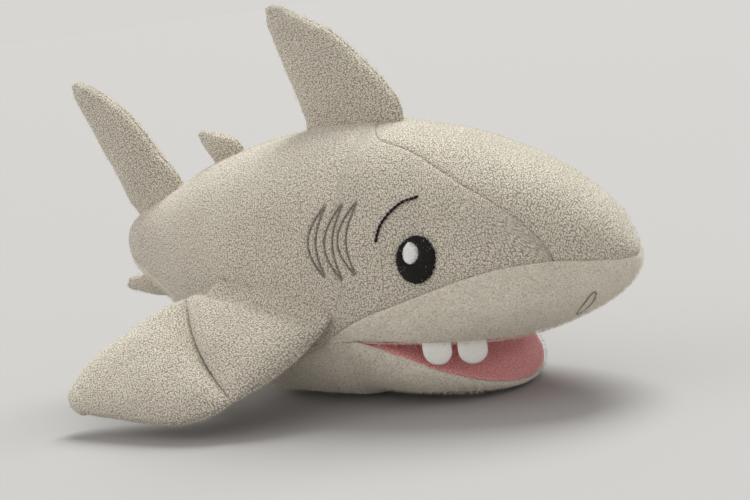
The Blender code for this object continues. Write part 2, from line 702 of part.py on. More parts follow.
def main():
    clear_scene()
    build_body()
    mount_on("jaw_hinge", (HINGE[0], 0, HINGE[1]), build_jaw())
    build_embroidery()
    build_nostrils()
    build_teeth()
    build_fins()
    build_pectorals()


main()
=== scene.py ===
"""Looks of the plush shark: terry and velour panels, stuffed fins, felt teeth and embroidery.

All sizes below are in millimetres, in the CAD's frame: +X to the nose, +Y to the shark's left, +Z up.
"""
import math

import bpy
import numpy as np
from mathutils import Matrix, Vector


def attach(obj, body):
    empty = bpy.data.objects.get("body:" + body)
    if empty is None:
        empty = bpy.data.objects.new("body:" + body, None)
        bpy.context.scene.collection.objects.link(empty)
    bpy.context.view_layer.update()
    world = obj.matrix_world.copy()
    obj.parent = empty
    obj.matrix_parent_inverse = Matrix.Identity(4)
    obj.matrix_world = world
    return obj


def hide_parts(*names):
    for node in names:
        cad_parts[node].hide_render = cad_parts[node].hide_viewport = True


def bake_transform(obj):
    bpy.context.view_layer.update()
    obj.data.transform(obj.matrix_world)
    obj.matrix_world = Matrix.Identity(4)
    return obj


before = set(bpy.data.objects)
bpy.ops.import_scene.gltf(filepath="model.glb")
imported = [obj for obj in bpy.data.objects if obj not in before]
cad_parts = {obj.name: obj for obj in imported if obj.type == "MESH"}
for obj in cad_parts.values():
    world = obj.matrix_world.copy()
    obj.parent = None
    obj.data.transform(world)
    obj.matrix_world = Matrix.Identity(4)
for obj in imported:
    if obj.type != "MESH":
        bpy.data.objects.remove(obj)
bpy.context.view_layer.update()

MM = 0.001

# ---- the body's form, as in the CAD
NOSE_X = 147.0
TOP_POWER = 2.2
BELLY_POWER = 2.7
# distance behind the nose, ridge, widest height, belly, half width
BODY = np.array([
    [0, 54, 54, 54, 0],
    [8, 71, 53, 42, 18],
    [24, 86, 50, 32, 30],
    [50, 100, 48, 23.5, 40],
    [85, 111, 48, 14, 48],
    [125, 116, 48, -1.5, 52],
    [165, 112, 49, -1.5, 49],
    [205, 103, 52, 18, 38],
    [235, 91, 58, 38, 25],
    [255, 83, 63, 49, 17],
    [265, 77, 66, 55, 11],
    [270, 66, 66, 66, 0],
])
HINGE = (39.0, 30.0)      # x and z of the mouth's corners
PALATE_SLOPE = -0.075
# where the lip and jaw fabric runs on into the belly, a little further back than in the CAD
CHEEK_X = 34.0
# seams in side view (x, z) and in plan (x, half width)
WHITE_SEAM = [(170, 54), (147, 54.5), (139, 56.5), (123, 58.5), (107, 57.5), (92, 54.5), (78, 50.5),
              (60, 45), (46, 40.5), (36, 36), (22, 28), (0, 22), (-25, 24), (-55, 33), (-85, 46),
              (-110, 57), (-135, 62)]
GUSSET = [(35, 0), (37, 9), (41, 16), (47, 21), (62, 23.5), (76, 27), (92, 29.2), (110, 29),
          (126, 27.8), (150, 27)]
# jaw sections: x, rim, lowest, half width; wider, lower and shorter than the CAD's
JAW = np.array([
    [34.0, 30.2, 0.2, 49.6],
    [39.0, 30.0, 0.2, 48.6],
    [48.0, 27.2, 0.4, 46.4],
    [58.0, 23.0, 0.6, 43.8],
    [69.0, 17.4, 0.7, 39.2],
    [76.5, 13.4, 0.8, 33.6],
    [83.0, 9.8, 0.9, 26.8],
    [87.2, 7.2, 1.1, 19.6],
    [90.0, 5.4, 1.6, 12.0],
    [91.4, 4.0, 3.6, 0.6],
])

# ---- fabric
TERRY_STEP = 0.62         # spacing of the points that carry real loops
VELOUR_STEP = 1.0
LOOP = 0.9                # size of a terry loop
CURL = 1.4                # size of the clumps that the loops' ends make
LOOP_HEIGHT = {"grey": 0.24, "pink": 0.24, "white": 0.12}
FIBRES = {"grey": (0.6, 0.95), "white": (1.5, 1.25)}    # how many to a square mm, and their length
FIBRE_WIDTH = 0.11
FIBRE_FLOOR = 3.0         # no fibres stand out below this height, where the toy is pressed down
SEAM_WIDTH = 2.4          # how far a panel's rounded edge reaches
SEAM_DEPTH = 0.85
LIP_EDGE = (3.0, 1.6)     # width and depth of the mouth's rounded edge, above and below
JAW_EDGE = (3.2, 1.6)
LUMP_SIZE = 24.0          # unevenness of the stuffing
LUMP_HEIGHT = 0.6


# ---- numbers
def smooth_rows(table, t):
    """Rows of the table at indices t, by a monotone cubic through its rows."""
    steps = np.diff(table, axis=0)
    product = steps[:-1] * steps[1:]
    total = np.where(product > 0, steps[:-1] + steps[1:], 1.0)
    slopes = np.zeros_like(table)
    slopes[1:-1] = np.where(product > 0, 2.0 * product / total, 0.0)
    slopes[0, 1:] = steps[0, 1:]
    slopes[-1, 1:] = steps[-1, 1:]
    low = np.minimum(t.astype(int), len(table) - 2)
    f = (t - low)[..., None]
    return (table[low] * (1 - f) ** 2 * (1 + 2 * f) + table[low + 1] * f ** 2 * (3 - 2 * f)
            + slopes[low] * f * (1 - f) ** 2 - slopes[low + 1] * f ** 2 * (1 - f))


def smoothstep(x, low, high):
    f = np.clip((x - low) / (high - low), 0, 1)
    return f * f * (3 - 2 * f)


def hashed(ix, iy, iz, seed):
    h = (ix * 374761393 + iy * 668265263 + iz * 1440662683 + seed * 144665449) & 0xFFFFFFFF
    h = ((h ^ (h >> 13)) * 1274126177) & 0xFFFFFFFF
    h ^= h >> 16
    return (h & 0xFFFF) / 32767.5 - 1.0


def noise(points, size, seed):
    """Smooth value noise from -1 to 1 at points (..., 3), with features of the given size."""
    scaled = points / size
    cell = np.floor(scaled).astype(np.int64)
    f = scaled - cell
    f = f * f * (3 - 2 * f)
    total = 0.0
    for dx in (0, 1):
        wx = f[..., 0] if dx else 1 - f[..., 0]
        for dy in (0, 1):
            wy = f[..., 1] if dy else 1 - f[..., 1]
            for dz in (0, 1):
                wz = f[..., 2] if dz else 1 - f[..., 2]
                total = total + wx * wy * wz * hashed(
                    cell[..., 0] + dx, cell[..., 1] + dy, cell[..., 2] + dz, seed)
    return total


def loops(points):
    """Height, from about 0 to 1, of the uneven ends of the pile."""
    return 0.5 + 0.5 * noise(points, CURL, 4) + 0.25 * noise(points, 0.6 * CURL, 5)


def normals(grid):
    """Unit normals of a grid of points, with the poles filled from their neighbours."""
    n = np.cross(np.gradient(grid, axis=0), np.gradient(grid, axis=1))
    size = np.linalg.norm(n, axis=-1, keepdims=True)
    n = n / np.maximum(size, 1e-12)
    for end, step in ((0, 1), (-1, -1)):
        if np.median(size[end]) < 1e-3 * np.median(size):
            n[end] = n[end + step].mean(0)
            n[end] /= np.linalg.norm(n[end][0])
    return n


def unit(v):
    v = np.asarray(v, float)
    return v / np.linalg.norm(v)


def facing_out(grid, middle):
    """Unit normals of a grid, on the side that faces away from the middle of its piece."""
    n = normals(grid)
    return n * np.sign(((grid - middle) * n).sum(-1).mean())


def length_along(line):
    """Distance of each point of a line from its start, along the line."""
    return np.concatenate([[0], np.cumsum(np.linalg.norm(np.diff(line, axis=0), axis=1))])


def even(grid, count):
    """The same surface with count evenly spaced points along each row."""
    lengths = np.cumsum(np.linalg.norm(np.diff(grid, axis=1), axis=-1), axis=1)
    lengths = np.concatenate([np.zeros((len(grid), 1)), lengths], 1)
    made = np.empty((len(grid), count, 3))
    for i, row in enumerate(grid):
        wanted = np.linspace(0, lengths[i, -1], count)
        for k in range(3):
            made[i, :, k] = np.interp(wanted, lengths[i], row[:, k])
    return made


def edge_distances(grid):
    """Distance of each point to its row's first and last point, and to the first and last row."""
    across = np.linalg.norm(np.diff(grid, axis=1), axis=-1)
    across = np.concatenate([np.zeros((len(grid), 1)), np.cumsum(across, 1)], 1)
    along = np.linalg.norm(np.diff(grid, axis=0), axis=-1)
    along = np.concatenate([np.zeros((1, grid.shape[1])), np.cumsum(along, 0)], 0)
    return {"start": across, "end": across[:, -1:] - across,
            "first": along, "last": along[-1:] - along}


def valley(distance, width=SEAM_WIDTH, depth=SEAM_DEPTH):
    """How far a rounded edge turns in at that distance from its seam."""
    f = np.clip(1 - distance / width, 0, 1)
    return depth * (1 - np.sqrt(1 - f * f))


def pucker(distance, place):
    """Soft gathers that run away from a seam."""
    return 0.22 * np.exp(-distance / 5.0) * noise(place, 4.5, 9)


# ---- the body's surface
DENSE_T = np.linspace(0, len(BODY) - 1, 4001)
DENSE_ROWS = smooth_rows(BODY, DENSE_T)


def t_at(x):
    return np.interp(NOSE_X - np.asarray(x, float), DENSE_ROWS[:, 0], DENSE_T)


def body_points(t, angle):
    """Points on the body. angle runs from the ridge, 0, down the right side to the belly, pi."""
    behind, top, wide, low, half = np.moveaxis(smooth_rows(BODY, t), -1, 0)
    across, up = np.sin(angle), np.cos(angle)
    power = np.where(up > 0, 2 / TOP_POWER, 2 / BELLY_POWER)
    y = -half * np.sign(across) * np.abs(across) ** power
    z = wide + np.where(up > 0, top - wide, low - wide) * np.abs(up) ** power
    return np.stack([NOSE_X - behind, y, z], -1)


def angle_at_height(t, z):
    """Angle on the right side at which the body's surface has height z."""
    _, top, wide, low, _ = np.moveaxis(smooth_rows(BODY, t), -1, 0)
    above = np.clip((z - wide) / np.maximum(top - wide, 1e-6), 0, 1) ** (TOP_POWER / 2)
    below = np.clip((wide - z) / np.maximum(wide - low, 1e-6), 0, 1) ** (BELLY_POWER / 2)
    return np.where(z > wide, np.arccos(above), np.pi - np.arccos(below))


def angle_at_width(t, y):
    """Angle on the right side, above the widest line, at which the surface is y from the middle."""
    half = smooth_rows(BODY, t)[..., 4]
    return np.arcsin(np.clip(y / np.maximum(half, 1e-6), 0, 1) ** (TOP_POWER / 2))


def outline(points, x):
    """Height or width of a seam at x, on a smooth curve through its points."""
    table = np.array(sorted(points), float)
    fine = smooth_rows(table, np.linspace(0, len(table) - 1, 600))
    return np.interp(x, fine[:, 0], fine[:, 1])


def palate_height(x):
    return HINGE[1] + PALATE_SLOPE * (x - HINGE[0])


def seam_angle(t):
    x = body_points(t, np.zeros_like(t))[..., 0]
    return angle_at_height(t, outline(WHITE_SEAM, x))


def gusset_angle(t):
    """Right edge of the snout gusset, or the ridge behind it."""
    x = body_points(t, np.zeros_like(t))[..., 0]
    edge = angle_at_width(t, np.where(x < GUSSET[0][0], 0, outline(GUSSET, x)))
    return np.minimum(edge, seam_angle(t))


def mouth_angle(t):
    x = body_points(t, np.zeros_like(t))[..., 0]
    return angle_at_height(t, palate_height(x))


def even_t(t0, t1, step, angle=np.pi / 2):
    """Values of t from t0 to t1, about step apart along the body."""
    t = np.linspace(t0, t1, 2000)
    line = body_points(t, np.full_like(t, angle))
    length = length_along(line)
    count = int(length[-1] / step) + 2
    return np.interp(np.linspace(0, length[-1], count), length, t)


def strip(t, start, end, step):
    """Grid of the body's surface between two angles at each t, evenly spaced."""
    share = np.linspace(0, 1, 160)
    angle = start[:, None] + (end - start)[:, None] * share
    grid = body_points(np.repeat(t[:, None], len(share), 1), angle)
    width = np.linalg.norm(np.diff(grid, axis=1), axis=-1).sum(1).max()
    return even(grid, int(width / step) + 2)


def surface_point(x, z):
    """Point and outward normal on the body's right side at side-view place (x, z)."""
    x, z = np.asarray(x, float), np.asarray(z, float)
    t = t_at(x)
    a = angle_at_height(t, z)
    d = 1e-3
    p = body_points(t, a)
    n = np.cross(body_points(t + d, a) - body_points(t - d, a),
                 body_points(t, a + d) - body_points(t, a - d))
    n /= np.linalg.norm(n, axis=-1, keepdims=True)
    return p, np.where(n[..., 1:2] > 0, -n, n)


# ---- materials
class Recipe:
    """A node material built up one node at a time."""

    def __init__(self, name):
        self.material = bpy.data.materials.new(name)
        self.material.use_nodes = True
        self.tree = self.material.node_tree
        self.shader = self.tree.nodes["Principled BSDF"]

    def add(self, kind, settings=None, **sockets):
        node = self.tree.nodes.new("ShaderNode" + kind)
        for key, value in (settings or {}).items():
            setattr(node, key, value)
        for key, value in sockets.items():
            socket = node.inputs[int(key[1:])] if key[0] == "i" and key[1:].isdigit() else \
                node.inputs[key.replace("_", " ")]
            self.put(socket, value)
        return node

    def put(self, socket, value):
        if isinstance(value, bpy.types.NodeSocket):
            self.tree.links.new(value, socket)
        else:
            socket.default_value = value

    def math(self, operation, *values):
        node = self.add("Math", {"operation": operation})
        for socket, value in zip(node.inputs, values):
            self.put(socket, value)
        return node.outputs[0]

    def mm(self):
        """Rest position in millimetres."""
        place = self.add("TexCoord").outputs["Object"]
        node = self.add("VectorMath", {"operation": "SCALE"}, i0=place)
        node.inputs["Scale"].default_value = 1 / MM
        return node.outputs[0]

    def warp(self, place, size, reach):
        swirl = self.add("TexNoise", Vector=place, Scale=1 / size, Detail=1.0).outputs["Color"]
        centred = self.add("VectorMath", {"operation": "SUBTRACT"}, i0=swirl, i1=(0.5, 0.5, 0.5))
        pushed = self.add("VectorMath", {"operation": "MULTIPLY_ADD"}, i0=centred.outputs[0],
                          i1=(reach,) * 3, i2=place)
        return pushed.outputs[0]

    def ramp(self, value, *stops):
        node = self.add("ValToRGB", i0=value)
        ramp = node.color_ramp
        while len(ramp.elements) < len(stops):
            ramp.elements.new(0.5)
        for element, (position, colour) in zip(ramp.elements, stops):
            element.position = position
            element.color = (*colour, 1.0)
        return node.outputs[0]

    def tint(self, colour, value, low, high):
        """colour times a grey that runs from low to high as value goes from 0 to 1."""
        grey = self.add("MapRange", i0=value, i3=low, i4=high).outputs[0]
        mixed = self.add("Mix", {"data_type": "RGBA", "blend_type": "MULTIPLY"})
        mixed.inputs[0].default_value = 1.0
        self.put(mixed.inputs[6], colour)
        self.put(mixed.inputs[7], grey)
        return mixed.outputs[2]

    def finish(self, colour, height=None, rough=0.95, bump=0.5, depth=0.6, sheen=0.3,
               sheen_tint=(1, 1, 1), specular=0.2):
        self.put(self.shader.inputs["Base Color"], colour)
        settings = {"Roughness": rough, "Specular IOR Level": specular, "Sheen Weight": sheen,
                    "Sheen Roughness": 0.45, "Sheen Tint": (*sheen_tint, 1.0)}
        for socket, value in settings.items():
            self.shader.inputs[socket].default_value = value
        if height is not None:
            node = self.add("Bump", Strength=bump, Distance=depth * MM, Height=height)
            self.put(self.shader.inputs["Normal"], node.outputs[0])
        return self.material


def scaled(colour, factor):
    return tuple(min(1.0, c * factor) for c in colour)


def terry(name, colour, loop, shade_contrast, depth, sheen):
    """Looped pile: short curled strands with painted shade in the gaps and a painted highlight on the loop
    tops, each loop a little lighter or darker.
    """
    r = Recipe(name)
    place = r.mm()
    cloth = r.add("Attribute", {"attribute_name": "cloth"}).outputs["Vector"]
    curled = r.warp(cloth, 1.3 * loop, 0.7 * loop)
    cells = r.add("TexVoronoi", {"voronoi_dimensions": "2D"}, Vector=curled, Scale=1 / loop, Randomness=0.8)
    strand = r.add("TexNoise", Vector=place, Scale=2.6 / loop, Detail=1.0).outputs[0]
    dome = r.math("SUBTRACT", 1.0, cells.outputs["Distance"])
    height = r.math("MULTIPLY_ADD", strand, 0.8, dome)
    height = r.math("MULTIPLY", height, 0.6)
    # painted shade and highlight: the colour is darker where the pile is low, in the gaps between loops,
    # and lighter on the loop tops
    shade = r.ramp(height, (0.52, scaled(colour, 1 - shade_contrast)), (0.66, colour),
                   (0.82, scaled(colour, 1 + 0.5 * shade_contrast)))
    patch = r.add("TexNoise", Vector=place, Scale=1 / 14.0, Detail=2.0).outputs[0]
    shade = r.tint(shade, patch, 0.92, 1.08)
    return r.finish(shade, height, bump=0.75, depth=depth, sheen=sheen, sheen_tint=(1.0, 0.98, 0.94))


def velour(name, colour):
    """Short brushed pile: fine fibres with soft marks where the nap lies differently."""
    r = Recipe(name)
    place = r.mm()
    lie = r.add("Mapping", i0=place)
    lie.inputs["Scale"].default_value = (0.45, 1.0, 1.0)
    fibre = r.add("TexNoise", Vector=r.warp(lie.outputs[0], 2.0, 1.2), Scale=2.1, Detail=3.0).outputs[0]
    nap = r.add("TexNoise", Vector=place, Scale=1 / 5.0, Detail=2.0).outputs[0]
    patch = r.add("TexNoise", Vector=place, Scale=1 / 22.0, Detail=2.0).outputs[0]
    shade = r.ramp(fibre, (0.32, scaled(colour, 0.66)), (0.5, colour), (0.68, scaled(colour, 1.2)))
    shade = r.tint(r.tint(shade, nap, 0.9, 1.1), patch, 0.92, 1.08)
    return r.finish(shade, fibre, bump=0.45, depth=0.35, sheen=0.35, sheen_tint=(1.0, 0.99, 0.95))


def felt(name, colour):
    r = Recipe(name)
    place = r.mm()
    matted = r.add("TexNoise", Vector=r.warp(place, 1.0, 1.4), Scale=1.7, Detail=4.0).outputs[0]
    shade = r.ramp(matted, (0.3, scaled(colour, 0.88)), (0.6, colour))
    return r.finish(shade, matted, bump=0.4, depth=0.25, sheen=0.25)


def fibre(name, colour):
    r = Recipe(name)
    return r.finish((*colour, 1), rough=1.0, sheen=0.4, specular=0.0)


def thread(name, colour, rough, sheen, specular):
    """Spun thread: lengthwise streaks and slight unevenness."""
    r = Recipe(name)
    place = r.mm()
    twist = r.add("TexNoise", Vector=place, Scale=3.2, Detail=2.0).outputs[0]
    slow = r.add("TexNoise", Vector=place, Scale=0.5, Detail=1.0).outputs[0]
    shade = r.tint(r.ramp(twist, (0.3, scaled(colour, 0.7)), (0.7, scaled(colour, 1.25))), slow, 0.85, 1.15)
    return r.finish(shade, twist, rough=rough, bump=0.3, depth=0.15, sheen=sheen, specular=specular)


GREY = (0.70, 0.635, 0.535)
WHITE = (0.68, 0.63, 0.54)
PINK = (1.0, 0.42, 0.42)
GREY_TERRY = terry("grey_terry", GREY, LOOP, 0.54, 0.60, 0.5)
PINK_TERRY = terry("pink_terry", PINK, LOOP, 0.36, 0.55, 0.6)
WHITE_VELOUR = velour("white_velour", WHITE)
WHITE_FELT = felt("white_felt", (0.93, 0.91, 0.87))
BLACK_THREAD = thread("black_thread", (0.010, 0.009, 0.008), 0.6, 0.0, 0.2)
WHITE_THREAD = thread("white_thread", (0.88, 0.87, 0.84), 0.5, 0.2, 0.4)
TAUPE_THREAD = thread("taupe_thread", (0.20, 0.168, 0.14), 0.75, 0.3, 0.25)
SKINS = {"grey": (GREY_TERRY, "grey_terry"), "pink": (PINK_TERRY, "pink_terry"),
         "white": (WHITE_VELOUR, "white_velour"), "felt": (WHITE_FELT, "white_felt"),
         "black": (BLACK_THREAD, "black_thread"), "glint": (WHITE_THREAD, "white_thread"),
         "taupe": (TAUPE_THREAD, "taupe_thread"),
         # the loose fibres are coloured lighter than their cloth: a painted highlight for the fuzz that
         # glows in the light from behind
         "grey_fibre": (fibre("grey_fibre", scaled(GREY, 1.05)), "grey_terry"),
         "white_fibre": (fibre("white_fibre", scaled(WHITE, 1.2)), "white_velour")}
TERRY_SKINS = ("grey", "pink")


# ---- meshes
def spread_out(grid, stride=8):
    """Distances over the cloth from its middle, across and along, ignoring the height of the pile."""
    rows, columns = (np.unique(np.append(np.arange(0, n, stride), n - 1)) for n in grid.shape[:2])
    coarse = grid[np.ix_(rows, columns)]
    flat = np.zeros((*grid.shape[:2], 3))
    for axis in (0, 1):
        length = np.linalg.norm(np.diff(coarse, axis=axis), axis=-1)
        length = np.cumsum(np.insert(length, 0, 0, axis=axis), axis=axis)
        length = length - np.take(length, [length.shape[axis] // 2], axis=axis)
        wide = np.stack([np.interp(np.arange(grid.shape[1]), columns, row) for row in length])
        flat[..., axis] = np.stack([np.interp(np.arange(grid.shape[0]), rows, column)
                                    for column in wide.T], 1)
    return flat


def build(name, grids, skin, around=False):
    """One mesh from grids of points in millimetres; around joins each row's end to its start."""
    points, faces, cloth, start = [], [], [], 0
    for grid in grids:
        rows, columns = grid.shape[:2]
        points.append(grid.reshape(-1, 3))
        if skin in TERRY_SKINS:
            cloth.append(spread_out(grid).reshape(-1, 3))
        index = np.arange(rows * columns).reshape(rows, columns) + start
        if around:
            index = np.concatenate([index, index[:, :1]], 1)
        faces.append(np.stack([index[:-1, :-1], index[1:, :-1], index[1:, 1:], index[:-1, 1:]], -1)
                     .reshape(-1, 4))
        start += rows * columns
    cloth = np.concatenate(cloth) if cloth else None
    return make_piece(name, np.concatenate(points), np.concatenate(faces), skin, cloth)


def show(thing):
    bpy.context.scene.collection.objects.link(thing)


def make_piece(name, points, faces, skin, cloth=None):
    points = points * MM
    mesh = bpy.data.meshes.new(name)
    mesh.vertices.add(len(points))
    mesh.vertices.foreach_set("co", points.astype(np.float32).ravel())
    mesh.loops.add(faces.size)
    mesh.loops.foreach_set("vertex_index", faces.astype(np.int32).ravel())
    mesh.polygons.add(len(faces))
    mesh.polygons.foreach_set("loop_start", np.arange(0, faces.size, 4, dtype=np.int32))
    if cloth is not None:
        mesh.attributes.new("cloth", "FLOAT_VECTOR", "POINT").data.foreach_set(
            "vector", cloth.astype(np.float32).ravel())
    mesh.update(calc_edges=True)
    mesh.validate()
    mesh.shade_smooth()
    material, slot = SKINS[skin]
    mesh.materials.append(material)
    piece = bpy.data.objects.new(name, mesh)
    show(piece)
    return piece


def mirror(grid):
    """The same grid on the other side, with its columns reversed so that it still faces out."""
    return (grid * np.array([1, -1, 1]))[:, ::-1]


def on_side(grids, side):
    """The right side's grids, or their mirror images."""
    return grids if side == "right" else [mirror(grid) for grid in grids]


def upholster(grid, skin, seams, away):
    """Stuffed fabric over a smooth grid: lumps, turned-in seams, and the pile itself."""
    distance = edge_distances(grid)
    folded = np.stack([grid[..., 0], np.abs(grid[..., 1]), grid[..., 2]], -1)
    out = LUMP_HEIGHT * noise(folded, LUMP_SIZE, 7)
    for seam in seams:
        out = out - valley(distance[seam]) + pucker(distance[seam], folded)
    out = out + LOOP_HEIGHT[skin] * (loops(grid) - 0.5)
    return grid + facing_out(grid, away) * out[..., None]


def fibres(name, smooth, skin, away):
    """Loose fibres that stand out of the pile, as thin curved blades."""
    density, length = FIBRES[skin]
    n = facing_out(smooth, away)
    down, across = np.diff(smooth, axis=0)[:, :-1], np.diff(smooth, axis=1)[:-1]
    area = np.linalg.norm(np.cross(down, across), axis=-1)
    rng = np.random.default_rng(len(name))
    count = int(area.sum() * density)
    i, j = np.unravel_index(rng.choice(area.size, count, p=area.ravel() / area.sum()), area.shape)
    root = smooth[i, j] + rng.random((count, 1)) * down[i, j] + rng.random((count, 1)) * across[i, j]
    free = root[:, 2] > FIBRE_FLOOR
    root, up, count = root[free], n[i, j][free], int(free.sum())
    lean = np.cross(up, rng.normal(size=(count, 3)))
    lean /= np.linalg.norm(lean, axis=1, keepdims=True)
    size = length * rng.uniform(0.6, 1.3, (count, 1))
    side = np.cross(up, lean) * FIBRE_WIDTH / 2
    spine = [(0.0, 0.0, 1.0), (0.62, 0.2, 0.9), (0.9, 0.75, 0.35)]
    points = np.stack([root + size * (u * up + o * lean) + s * w * side
                       for u, o, w in spine for s in (-1, 1)], 1)
    quads = np.array([[0, 2, 3, 1], [2, 4, 5, 3]])
    faces = (np.arange(count)[:, None, None] * 6 + quads).reshape(-1, 4)
    return make_piece(name, points.reshape(-1, 3), faces, f"{skin}_fibre")


def settle(grid, floor=0.25):
    """The belly lies flat on what the toy stands on."""
    grid[..., 2] = np.maximum(grid[..., 2], floor + 0.15 * noise(grid, 1.2, 8))
    return grid


# ---- panels
AXIS = np.array([20.0, 0.0, 52.0])


def side_grid():
    front = t_at(125.5)
    t = even_t(front, len(BODY) - 1.002, TERRY_STEP)
    start, end = gusset_angle(t), seam_angle(t)
    return strip(t, start, end, TERRY_STEP)


def press_embroidery(grid):
    """The pile is held down under and beside the embroidery."""
    out = np.zeros(grid.shape[:2])
    flat = grid[..., [0, 2]]
    for line in gill_lines():
        gap = np.full(grid.shape[:2], 1e9)
        for a, b in zip(line, line[1:]):
            d = b - a
            f = np.clip(((flat - a) @ d) / (d @ d), 0, 1)
            gap = np.minimum(gap, np.linalg.norm(flat - a - f[..., None] * d, axis=-1))
        out -= 0.55 * np.exp(-(gap / 0.8) ** 2)
    around = np.linalg.norm((flat - np.array(EYE)) / (np.array(EYE_SIZE) / 2), axis=-1)
    out -= 0.35 * smoothstep(-around, -1.22, -1.0)
    return out


def build_body():
    grid = side_grid()
    for side in ("right", "left"):
        smooth = grid if side == "right" else mirror(grid)
        piece = upholster(smooth, "grey", ("start", "end"), AXIS)
        piece = piece + facing_out(smooth, AXIS) * press_embroidery(smooth)[..., None]
        cover = build(f"side_cover_{side}", [piece], "grey")
        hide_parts(f"side_panel_{side}", *(["body_filling"] if side == "right" else []))
        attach(cover, "body")
        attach(fibres(f"side_fibres_{side}", smooth, "grey", AXIS), "body")

    t = even_t(0.004, t_at(GUSSET[0][0] + 0.2), TERRY_STEP, 0.0)
    edge = gusset_angle(t)
    grid = strip(t, -edge, edge, TERRY_STEP)
    gusset = build("gusset_cover", [upholster(grid, "grey", ("start", "end"), AXIS)], "grey")
    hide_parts("snout_gusset")
    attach(gusset, "body")
    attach(fibres("gusset_fibres", grid, "grey", AXIS), "body")

    t = np.unique(np.concatenate([even_t(0.004, t_at(CHEEK_X), VELOUR_STEP * 0.8),
                                  t_at(MOUTH_FRONT + np.linspace(-2.6, 0.4, 14) ** 3 / 6)]))
    right = strip(t, seam_angle(t), mouth_angle(t), VELOUR_STEP * 0.8)
    lip = []
    for side, smooth in (("right", right), ("left", mirror(right))):
        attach(fibres(f"lip_fibres_{side}", smooth, "white", AXIS), "body")
        n = facing_out(smooth, AXIS)
        distance = edge_distances(smooth)
        seam, edge = ("start", "end") if smooth is right else ("end", "start")
        open_edge = (smoothstep(smooth[..., 0], 36.5, 41)
                     * smoothstep(-smooth[..., 0], -MOUTH_FRONT - 1, -MOUTH_FRONT + 1))
        back = smoothstep(smooth[..., 0], CHEEK_X, CHEEK_X + 4)
        folded = np.abs(smooth)
        out = LUMP_HEIGHT * noise(folded, LUMP_SIZE, 7) - valley(distance[seam]) * (0.3 + 0.7 * back)
        out -= valley(distance[edge], *LIP_EDGE) * open_edge
        out += LOOP_HEIGHT["white"] * (loops(smooth) - 0.5)
        lip.append(smooth + n * out[..., None])
    cover = build("lip_cover", lip, "white")
    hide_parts("lip_panel")
    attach(cover, "body")

    t = even_t(t_at(CHEEK_X), len(BODY) - 1.002, VELOUR_STEP)
    t = t[seam_angle(t) < np.pi - 0.04]
    right = strip(t, seam_angle(t), np.full_like(t, np.pi), VELOUR_STEP)
    belly = []
    for side, smooth in (("right", right), ("left", mirror(right))):
        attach(fibres(f"belly_fibres_{side}", smooth, "white", AXIS), "body")
        seam = "start" if smooth is right else "end"
        belly.append(settle(upholster(smooth, "white", (seam,), AXIS)))
    cover = build("belly_cover", belly, "white")
    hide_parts("belly_panel")
    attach(cover, "body")


# ---- mouth
MOUTH_FRONT = 101.7       # where the palate meets the underside of the snout
PALATE_ARCH = 5.0
TONGUE_CROWN = 3.6
JAW_ROUND = 0.79          # below 1 makes the underside of the jaw boxier than an ellipse
JAW_MIDDLE = np.array([60.0, 0.0, 22.0])


def lip_half_width(x):
    t = t_at(x)
    return -body_points(t, angle_at_height(t, palate_height(x)))[..., 1]


def build_palate():
    reach = MOUTH_FRONT - CHEEK_X - 0.3
    x = CHEEK_X + reach * np.sin(np.linspace(0, np.pi / 2, int(reach / (0.9 * TERRY_STEP))))
    half = lip_half_width(x) - 1.0
    across = np.linspace(-1, 1, 170)
    y = half[:, None] * across
    inside = half[:, None] * (1 - np.abs(across))
    arch = PALATE_ARCH * smoothstep(x, CHEEK_X, CHEEK_X + 25)[:, None]
    z = palate_height(x)[:, None] + arch * smoothstep(inside, 1.5, 22)
    z = z + 0.5 - 1.1 * smoothstep(inside, 0, 1.2) * smoothstep(x, 37, 44)[:, None]
    grid = np.stack([np.repeat(x[:, None], len(across), 1), y, z], -1)
    pile = LOOP_HEIGHT["pink"] * (loops(grid) - 0.5)
    n = normals(grid)
    n *= np.where(n[..., 2:3] > 0, -1, 1)
    cover = build("palate_cover", [grid + n * pile[..., None]], "pink")
    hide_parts("mouth_lining")
    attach(cover, "body")


def jaw_rows(step):
    t = np.linspace(0, len(JAW) - 1, 2000)
    row = smooth_rows(JAW, t)
    line = np.stack([row[:, 0], row[:, 3]], -1)
    length = length_along(line)
    wanted = np.linspace(0, length[-1], int(length[-1] / step) + 2)
    return smooth_rows(JAW, np.interp(wanted, length, t))


